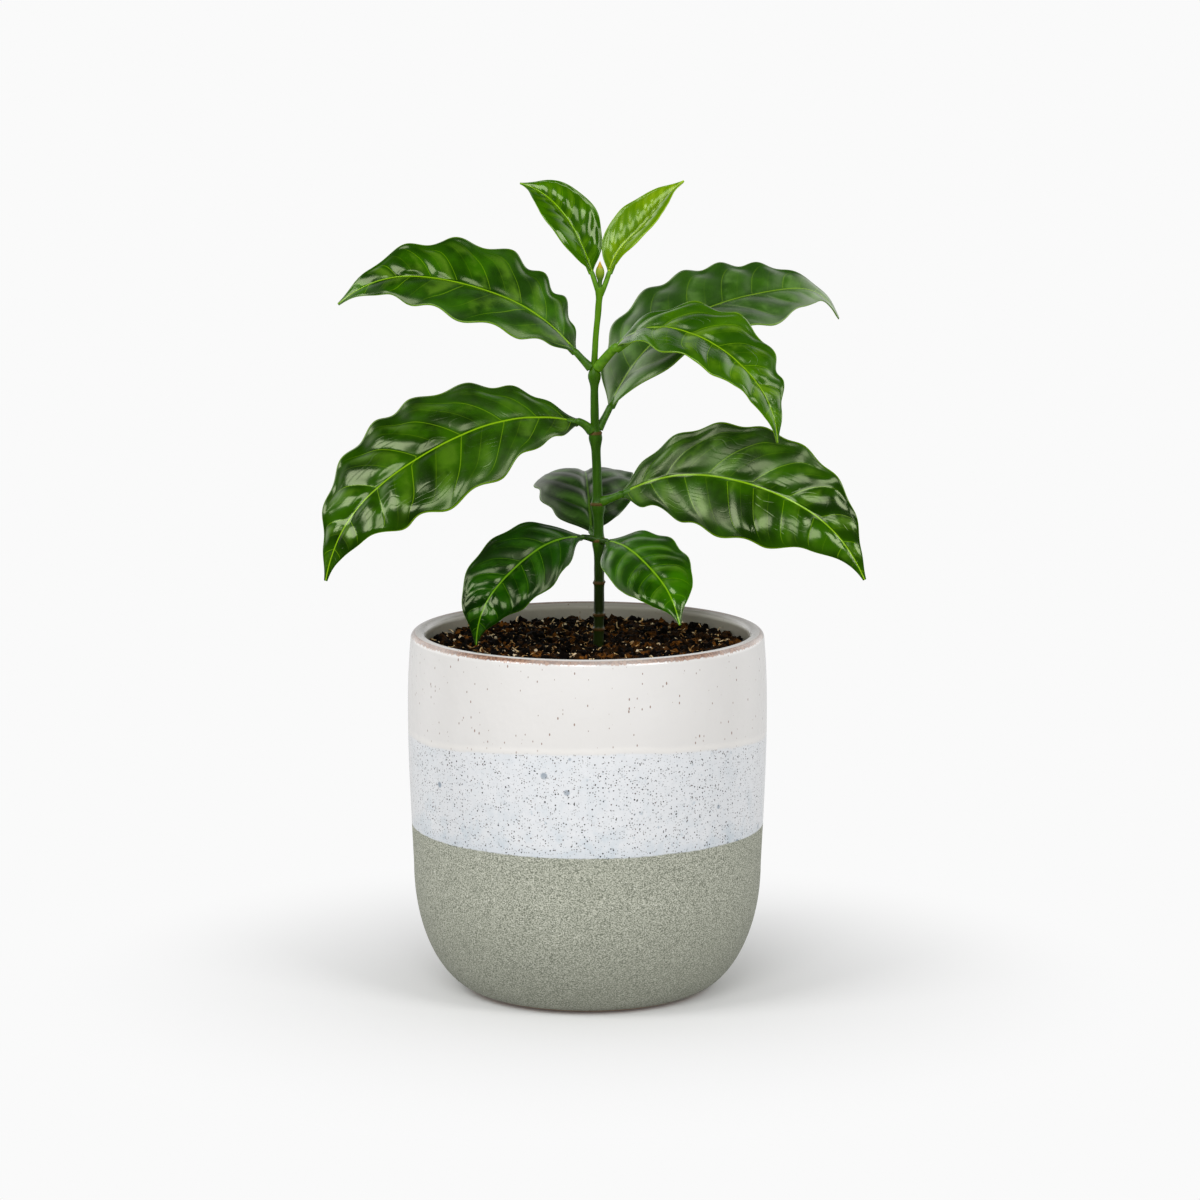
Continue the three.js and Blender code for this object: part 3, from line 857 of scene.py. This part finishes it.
def midrib(leaf):
    """Walks the midrib in small steps and keeps the place, side, normal and roll at each."""
    point = blade_base(leaf)
    first, last = leaf["heading"]
    walk = []
    for step in range(MIDRIB_STEPS + 1):
        share = step / MIDRIB_STEPS
        heading = mix(first, last, share)
        forward = direction(heading, along(leaf["slopes"], share))
        side = direction(heading + 90)
        roll = mix(*leaf["roll"], share)
        walk.append((point.copy(), side, forward.cross(side), roll))
        middle = share + 0.5 / MIDRIB_STEPS
        ahead = direction(mix(first, last, middle), along(leaf["slopes"], middle))
        point += ahead * leaf["length"] / MIDRIB_STEPS
    return walk


def turned(side, normal, degrees):
    """A blade's sideways direction and its normal, turned about its midrib."""
    angle = math.radians(degrees)
    outward = side * math.cos(angle) + normal * math.sin(angle)
    return outward, normal * math.cos(angle) - side * math.sin(angle)


def fullness_at(leaf, plain, gain=1.3):
    """1 over the broad part of a blade, falling to 0 at its narrow ends."""
    return clamp(plain / leaf["half_width"] * gain)


def counted(marks, share):
    """Counts the marks passed at a share, with fractions between them: a whole number at each mark."""
    i = 0
    while i < len(marks) - 2 and marks[i + 1] < share:
        i += 1
    return i + (share - marks[i]) / (marks[i + 1] - marks[i])


def vein_phase(leaf, share, across, plain):
    """Which side vein runs through a point: a whole number on a vein, a half midway to the next."""
    aside = abs(across)
    half = 0 if across > 0 else 1
    lead = leaf["sweep"][half] * plain * aside * (0.75 + 0.3 * aside ** 2 + 0.55 * aside ** 6)
    start = share - lead / leaf["length"]
    left, right = (counted(veins, start) for veins in leaf["veins"])
    return mix((left + right) / 2, left if across > 0 else right, smooth(aside, 0.0, 0.05))


def relief(leaf, share, across, plain, seed):
    """How far a point stands off the plain blade, its vein phase, and its cross veins' place and depth."""
    aside = abs(across)
    side = 1 if across > 0 else -1
    fullness = fullness_at(leaf, plain)
    phase = vein_phase(leaf, share, across, plain)
    within = 2 * (phase - math.floor(phase)) - 1
    own = Vector((seed, side * 3.7, 0))
    lively = 0.85 + 0.7 * noise.noise(own + Vector((phase * 0.45, aside, 0)))
    soft = leaf.get("soft", 0.04)
    crest = 0.06 * hump(within, 0.2) * (1 - min(1, soft * 5))
    dome = math.sqrt(math.sin(math.pi * phase) ** 2 + soft) - crest
    quilt = leaf["quilt"] * (dome - 0.45) * clamp(aside / 0.14) * (1 - 0.75 * aside ** 3) * lively
    slow = noise.noise(own + Vector((share * 3.2, 5.1, 0))) * 1.2 * smooth(aside, 0.2, 1.1)
    height = (quilt + slow - PILLOW * aside * (aside - 0.8)) * fullness
    distance = plain * aside
    rib = min(0.5, plain * 0.12)
    height += 0.25 * hump(distance, rib) * clamp(1.2 - share) - 0.3 * hump(distance, rib * 4) * fullness
    wander = noise.noise(own + Vector((phase * 1.7, distance * 0.15, 2)))
    rung = math.hypot(distance, PANEL_REACH * within) / RUNG_STEP + 1.6 * wander
    groove = leaf.get("ripple", 0) * smooth(aside, 0.02, 0.12) * (1 - smooth(aside, 0.75, 0.95))
    groove *= clamp(0.3 + 3 * noise.noise(own + Vector((share * 7, aside * 3, 9)))) * (1 - within ** 8)
    return height, phase, rung, groove


def make_blade(leaf, material, slot, number):
    """A grid bent along the midrib and quilted, then doubled for its underside and closed at its edge."""
    walk = midrib(leaf)
    bm = bmesh.new()
    marks = {}
    for mark in ("phase", "aside", "edge", "rung", "groove", "under"):
        marks[mark] = bm.verts.layers.float.new(mark)
    bmesh.ops.create_grid(bm, x_segments=BLADE_COLUMNS, y_segments=MIDRIB_STEPS, size=1)
    for v in bm.verts:
        share = (v.co.y + 1) / 2
        side = 1 if v.co.x > 0 else -1
        half = 0 if v.co.x > 0 else 1
        across = side * abs(v.co.x) ** 1.25
        aside = abs(across)
        point, sideways, normal, roll = walk[round(share * MIDRIB_STEPS)]
        plain = leaf["half_width"] * along(leaf.get("outline", SLENDER), share ** leaf.get("belly", 1))
        height, phase, rung, groove = relief(leaf, share, across, plain, number * NOISE_STEP)
        plain += leaf.get("lobe", (0, 0))[half] * hump(share - 0.05, 0.035)
        swing = math.cos(FULL_TURN * counted(leaf["crests"][half], share))
        swing += 0.35 * noise.noise(Vector((share * 9, side * 4.3, number)))
        swing *= leaf["wave"][half] * fullness_at(leaf, plain, 1.4)
        half_width = max(TIP_HALF_WIDTH, plain + WAVE_IN_PLANE * swing * smooth(aside, 0.35, 1))
        far = 1 if sideways.y * side > 0 else -1
        height += WAVE_OFF_PLANE * far * swing * smooth(aside, 0.45, 1.05)
        lift = roll + side * leaf["fold"] * smooth(abs(v.co.x), 0, 0.04)
        outward, raised = turned(sideways, normal, lift)
        droop = EDGE_DROOP * (-FAR_EDGE_LIFT if far > 0 else 1)
        offset = height - leaf["cup"] * plain * across * across
        offset -= droop * fullness_at(leaf, plain) * smooth(aside, 0.78, 1.0) ** 2
        v[marks["phase"]] = phase
        v[marks["aside"]] = aside * half_width / mix(0.5, 0.22, share ** 0.6)
        v[marks["edge"]] = aside
        v[marks["rung"]] = rung
        v[marks["groove"]] = groove
        v.co = (point + outward * half_width * across + raised * offset) * MM
    bm.normal_update()
    if sum(v.normal.z for v in bm.verts) < 0:
        bmesh.ops.reverse_faces(bm, faces=bm.faces[:])
        bm.normal_update()
    copied = bmesh.ops.duplicate(bm, geom=bm.verts[:] + bm.edges[:] + bm.faces[:])["geom"]
    lower = [g for g in copied if isinstance(g, bmesh.types.BMVert)]
    lower_faces = [g for g in copied if isinstance(g, bmesh.types.BMFace)]
    for v in lower:
        v.co -= v.normal * BLADE_THICKNESS * MM
        v[marks["under"]] = 1
    bmesh.ops.reverse_faces(bm, faces=lower_faces)
    bmesh.ops.bridge_loops(bm, edges=[e for e in bm.edges if e.is_boundary])
    bmesh.ops.recalc_face_normals(bm, faces=bm.faces[:])
    make_piece("blade_" + leaf["name"], bm, material, slot, "leaf_" + leaf["name"])


def make_petiole(leaf, material):
    """The leaf's stalk, which runs on under the blade as its midrib."""
    heading, reach, rise, radius = leaf["petiole"]
    walk = midrib(leaf)
    bark = stem_radius(leaf["node"])
    start = stem_axis(leaf["node"]) + direction(heading) * bark * leaf.get("foot", 0.5)
    start.z += min(PETIOLE_LIFT, bark * rise / reach) - leaf.get("sunk", 0)
    end = walk[0][0]
    forward = direction(leaf["heading"][0], leaf["slopes"][0])
    bend = end - forward * (PETIOLE_BEND * (end - start).length)
    path = []
    for i in range(STALK_ROWS):
        t = i / STALK_ROWS
        point = start * (1 - t) ** 2 + bend * 2 * t * (1 - t) + end * t * t
        flare = 1 + leaf.get("flare", 0.3) * hump((point - start).length, FLARE_REACH)
        path.append((point, radius * flare * (1.06 - 0.1 * t)))
    for i in range(0, MIDRIB_STEPS + 1, 2):
        point, side, normal, roll = walk[i]
        share = i / MIDRIB_STEPS
        raised = turned(side, normal, roll)[1]
        size = radius * mix(0.95, 0.5, smooth(share, 0, 0.12)) * (1 - share) ** 0.7 + 0.12
        sinking = smooth(share, 0, 0.08)
        sunk = size * mix(0.5, 1.05, sinking) + 0.35 * sinking
        path.append((point - raised * sunk, size))
    rows = len(path) - 1
    sideways = direction(leaf["heading"][0] + 90)

    def place(turn, share):
        i = round(share * rows)
        point, size = path[i]
        tangent = (path[min(i + 1, rows)][0] - path[max(i - 1, 0)][0]).normalized()
        across = (sideways - tangent * sideways.dot(tangent)).normalized()
        upward = across.cross(tangent)
        angle = turn * FULL_TURN
        if i in (0, rows):
            size = 0
        return (point + (across * math.cos(angle) + upward * math.sin(angle)) * size) * MM

    bm = rolled(STALK_SIDES, rows, place)
    make_piece("stalk_" + leaf["name"], bm, material, "petiole", "petiole_" + leaf["name"])


# The pot and its potting mix

def pot_outer_radius(height):
    if height < CORNER_HEIGHT:
        turn = math.acos(1 - height / CORNER_HEIGHT)
        return FOOT_RADIUS + (CORNER_RADIUS - FOOT_RADIUS) * math.sin(turn)
    if height < SHOULDER_HEIGHT:
        share = (height - CORNER_HEIGHT) / (SHOULDER_HEIGHT - CORNER_HEIGHT)
        return CORNER_RADIUS + (POT_RADIUS - CORNER_RADIUS) * math.sin(share * math.pi / 2)
    share = (height - SHOULDER_HEIGHT) / (POT_HEIGHT - SHOULDER_HEIGHT)
    return POT_RADIUS - SHOULDER_DRAW_IN * share * share


def cavity_profile(inset, top):
    """The cavity from the middle of its floor up its corner and wall, drawn in by an inset."""
    floor = CAVITY_FLOOR + inset
    wall = CORNER_RADIUS - WALL_THICKNESS - inset
    profile = [(0, floor)]
    for i in range(CAVITY_CORNER_STEPS + 1):
        turn = i / CAVITY_CORNER_STEPS * math.pi / 2
        out = CAVITY_FLOOR_RADIUS + (wall - CAVITY_FLOOR_RADIUS) * math.sin(turn)
        profile.append((out, CORNER_HEIGHT - (CORNER_HEIGHT - floor) * math.cos(turn)))
    for i in range(1, CAVITY_LEVELS + 1):
        height = mix(CORNER_HEIGHT, top, i / CAVITY_LEVELS)
        profile.append((pot_outer_radius(height) - WALL_THICKNESS - inset, height))
    return profile


def make_pot(material):
    """A profile from the middle of the foot over the lip to the cavity's floor, spun round."""
    profile = [
        (0, 0), (FOOT_FLAT_RADIUS * 0.5, 0), (FOOT_FLAT_RADIUS - FOOT_BEVEL_WIDTH, 0),
        (FOOT_FLAT_RADIUS, FOOT_BEVEL_HEIGHT),
    ]
    for i in range(CORNER_STEPS + 1):
        turn = i / CORNER_STEPS * math.pi / 2
        height = FOOT_EDGE_HEIGHT + (CORNER_HEIGHT - FOOT_EDGE_HEIGHT) * (1 - math.cos(turn))
        profile.append((pot_outer_radius(height), height))
    lip_height = POT_HEIGHT - LIP_RADIUS
    for i in range(1, WALL_LEVELS):
        height = mix(CORNER_HEIGHT, lip_height, i / WALL_LEVELS)
        profile.append((pot_outer_radius(height), height))
    lip_middle = pot_outer_radius(lip_height) - LIP_RADIUS
    for i in range(LIP_STEPS + 1):
        turn = math.pi * i / LIP_STEPS
        out = lip_middle + LIP_RADIUS * math.cos(turn)
        profile.append((out, lip_height + LIP_RADIUS * math.sin(turn)))
    profile += cavity_profile(0, lip_height)[-2::-1]

    bm = bmesh.new()
    points = [bm.verts.new((radius * MM, 0, height * MM)) for radius, height in profile]
    for a, b in zip(points, points[1:]):
        bm.edges.new((a, b))
    bmesh.ops.spin(
        bm, geom=bm.verts[:] + bm.edges[:], cent=(0, 0, 0), axis=(0, 0, 1), angle=FULL_TURN,
        steps=POT_SIDES, use_merge=True,
    )
    close_up(bm)
    for v in bm.verts:
        out = Vector((v.co.x, v.co.y, 0))
        if out.length > FOOT_FLAT_RADIUS * MM:
            sway = noise.noise(v.co / MM / POT_UNEVENNESS_WIDTH) * POT_UNEVENNESS
            v.co += out.normalized() * sway * smooth(v.co.z / MM, *POT_UNEVENNESS_HEIGHTS) * MM
    make_piece("glazed_pot", bm, material, "pot_glaze", "pot")


def soil_top(x, y):
    """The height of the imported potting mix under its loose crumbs."""
    lumps = noise.fractal(Vector((x, y, 0)) / SOIL_LUMP_WIDTH, 1.0, 2.0, 3) * SOIL_LUMP_HEIGHT
    return SOIL_HEIGHT - SOIL_DIP + lumps


def make_soil(material):
    profile = cavity_profile(SOIL_EDGE_GAP, SOIL_HEIGHT - SOIL_EDGE_DIP)
    rim = profile[-1][0]
    profile += [(rim * (1 - i / SOIL_RINGS), None) for i in range(1, SOIL_RINGS + 1)]
    rows = len(profile) - 1

    def place(turn, share):
        radius, height = profile[round(share * rows)]
        point = direction(turn * 360) * radius
        point.z = soil_top(point.x, point.y) if height is None else height
        return point * MM

    make_piece("potting_mix", rolled(SOIL_SIDES, rows, place), material, "soil", "soil")


def lump(rng):
    """A crumb of the mix: a small ball pushed out of shape."""
    bm = bmesh.new()
    bmesh.ops.create_icosphere(bm, subdivisions=2, radius=1)
    seed = Vector((rng.uniform(-50, 50), rng.uniform(-50, 50), rng.uniform(-50, 50)))
    for v in bm.verts:
        v.co *= 1 + 0.75 * noise.noise(v.co * 1.3 + seed) + 0.3 * noise.noise(v.co * 3.1 + seed)
        v.co.z *= CRUMB_FLATNESS
    return mesh_from("lump", bm)


def fibre(rng):
    """A curled strand of bark or coir, of length 1."""
    bends = []
    for i in range(FIBRE_BENDS):
        bends.append(Vector((rng.uniform(-1, 1), rng.uniform(-1, 1), rng.uniform(-0.35, 0.35))))
    path = []
    point = Vector((0, 0, 0))
    heading = Vector((1, 0, 0))
    for i in range(FIBRE_ROWS + 1):
        path.append(point.copy())
        bend = bends[min(FIBRE_BENDS - 1, i * FIBRE_BENDS // FIBRE_ROWS)]
        heading = (heading + bend * 0.55).normalized()
        point = point + heading / FIBRE_ROWS

    def place(turn, share):
        i = round(share * FIBRE_ROWS)
        tangent = (path[min(i + 1, FIBRE_ROWS)] - path[max(i - 1, 0)]).normalized()
        across = tangent.cross(Vector((0, 0, 1))).normalized()
        angle = turn * FULL_TURN
        round_it = across * math.cos(angle) + across.cross(tangent) * math.sin(angle) * FIBRE_FLATNESS
        return path[i] + round_it * (0 if i in (0, FIBRE_ROWS) else FIBRE_RADIUS)

    return mesh_from("fibre", rolled(FIBRE_SIDES, FIBRE_ROWS, place))


def scattered(name, shapes, count, sizes, material, rng, lift=0.25, flat=False, clear=0.0):
    """Strews copies of some shapes over the potting mix, as one piece."""
    smallest, largest = sizes
    edge = cavity_profile(SOIL_EDGE_GAP, SOIL_HEIGHT)[-1][0]
    stem_foot = stem_axis(SOIL_HEIGHT).xy.to_3d()
    whole = bmesh.new()
    for i in range(count):
        scale = smallest + (largest - smallest) * rng.random() ** 2
        room = edge - scale * 0.8 - 0.2
        radius = room * math.sqrt(rng.random())
        spot = direction(rng.uniform(0, 360)) * radius
        if (spot - stem_foot).length < clear + scale:
            continue
        spot.z = soil_top(spot.x, spot.y) + scale * lift
        turn = Matrix.Rotation(rng.uniform(0, FULL_TURN), 4, "Z")
        lean = Matrix.Rotation(rng.uniform(-0.5, 0.5) if flat else rng.uniform(0, math.pi), 4, "X")
        shape = shapes[rng.randrange(len(shapes))]
        before = len(whole.verts)
        whole.from_mesh(shape)
        whole.verts.ensure_lookup_table()
        move = Matrix.Translation(spot * MM) @ turn @ lean @ Matrix.Scale(scale * MM, 4)
        for v in whole.verts[before:]:
            v.co = move @ v.co
    make_piece(name, whole, material, "soil")


# The stage

def make_stage():
    """A paper floor that turns into plain white a little way off."""
    bm = bmesh.new()
    bmesh.ops.create_grid(bm, x_segments=1, y_segments=1, size=FLOOR_REACH)
    floor = placed("floor", mesh_from("floor", bm))
    paint = Paint("floor_paper")
    paper = paint.node("ShaderNodeBsdfDiffuse", None, {"Color": linear("f0f0f0")})
    glow = paint.node("ShaderNodeEmission", None, {"Color": linear("fafafa")})
    far = paint.from_axis().rise(FLOOR_FADE_START, FLOOR_FADE_END)
    surface = paint.node("ShaderNodeMixShader", None, {0: far, 1: paper, 2: glow})
    paint.node("ShaderNodeOutputMaterial", None, {"Surface": surface})
    floor.data.materials.append(paint.owner)
    floor.visible_glossy = False


def make_world():
    """A white room: a bright backdrop behind, a pale floor, and a dim ceiling between the softboxes."""
    room = Paint("studio", "worlds")
    bpy.context.scene.world = room.owner
    where = room.node("ShaderNodeTexCoord", output="Generated")
    deep = room.part(where, "Y")
    up = room.part(where, "Z")
    aside = abs(room.part(where, "X"))
    backdrop = deep.rise(-0.3, 0.3) * up.fall(0.45, 0.9) * up.rise(-0.1, 0.12)
    backdrop *= 0.35 + 0.65 * aside.rise(0.15, 0.55)
    floor = FLOOR_LIGHT * up.fall(-0.1, 0.12) * deep.rise(0.1, 0.6)
    mirrored = CEILING_LIGHT + BACKDROP_LIGHT * backdrop + floor
    seen = room.node("ShaderNodeLightPath", output="Is Camera Ray")
    glossy = room.node("ShaderNodeLightPath", output="Is Glossy Ray")
    strength = ROOM_LIGHT + (mirrored - ROOM_LIGHT) * glossy
    strength = strength + (SEEN_LIGHT - strength) * seen
    background = room.node("ShaderNodeBackground", None, {"Color": (1, 1, 1, 1), "Strength": strength})
    room.node("ShaderNodeOutputWorld", None, {"Surface": background})


def make_softbox(name, place, width, height, power):
    light = bpy.data.lights.new(name, "AREA")
    light.shape = "RECTANGLE"
    light.size = width
    light.size_y = height
    light.energy = power
    lamp = placed(name, light)
    lamp.location = place
    aim = Vector(SOFTBOX_TARGET) - Vector(place)
    lamp.rotation_euler = aim.to_track_quat("-Z", "Y").to_euler()


def make_camera():
    camera = placed("camera", bpy.data.cameras.new("camera"))
    camera.data.sensor_width = SENSOR_WIDTH
    camera.data.lens = CAMERA_LENS
    camera.location = Vector(CAMERA_PLACE) * MM
    camera.rotation_euler = (math.radians(90 - CAMERA_TILT), 0, 0)
    bpy.context.scene.camera = camera


make_camera()
make_stage()
make_world()
for softbox in SOFTBOXES:
    make_softbox(*softbox)
bpy.context.scene.view_settings.view_transform = "Standard"

rng = random.Random(RANDOM_SEED)
make_pot(pot_material())
make_soil(soil_material("mix_ground", "020100", "100903", depth=0.3))
crumbs = [lump(rng) for i in range(CRUMB_SHAPES)]
for name, dark, light, share in CRUMB_KINDS:
    finish = soil_material(name, dark, light, depth=0.25)
    scattered(name, crumbs, int(CRUMB_COUNT * share), CRUMB_SIZES, finish, rng, clear=0.5)
fibres = [fibre(rng) for i in range(FIBRE_SHAPES)]
for name, dark, light, share in FIBRE_KINDS:
    finish = soil_material(name, dark, light, depth=0.05)
    scattered(name, fibres, int(FIBRE_COUNT * share), FIBRE_SIZES, finish, rng, lift=0.3, flat=True)
pale = soil_material("pale_bits", "b89468", "fff0d0", depth=0.1)
scattered("pale_bits", crumbs, PALE_BIT_COUNT, PALE_BIT_SIZES, pale, rng, lift=1.3, clear=1)

make_stem(stem_material())
make_bud(bud_material())
make_scales(scale_material())
stalk_of = {}
for name, (light, dark, under_blade, tones) in STALKS.items():
    finish = petiole_material(name, light, dark, under_blade)
    for tone in tones:
        stalk_of[tone] = finish
blade_of = {}
for number, leaf in enumerate(LEAVES):
    tone = leaf["tone"]
    look = dict(zip(TONE_PARTS, TONES[tone]))
    if tone not in blade_of:
        blade_of[tone] = leaf_material(tone, look)
    make_blade(leaf, blade_of[tone], look["slot"], number)
    make_petiole(leaf, stalk_of[tone])
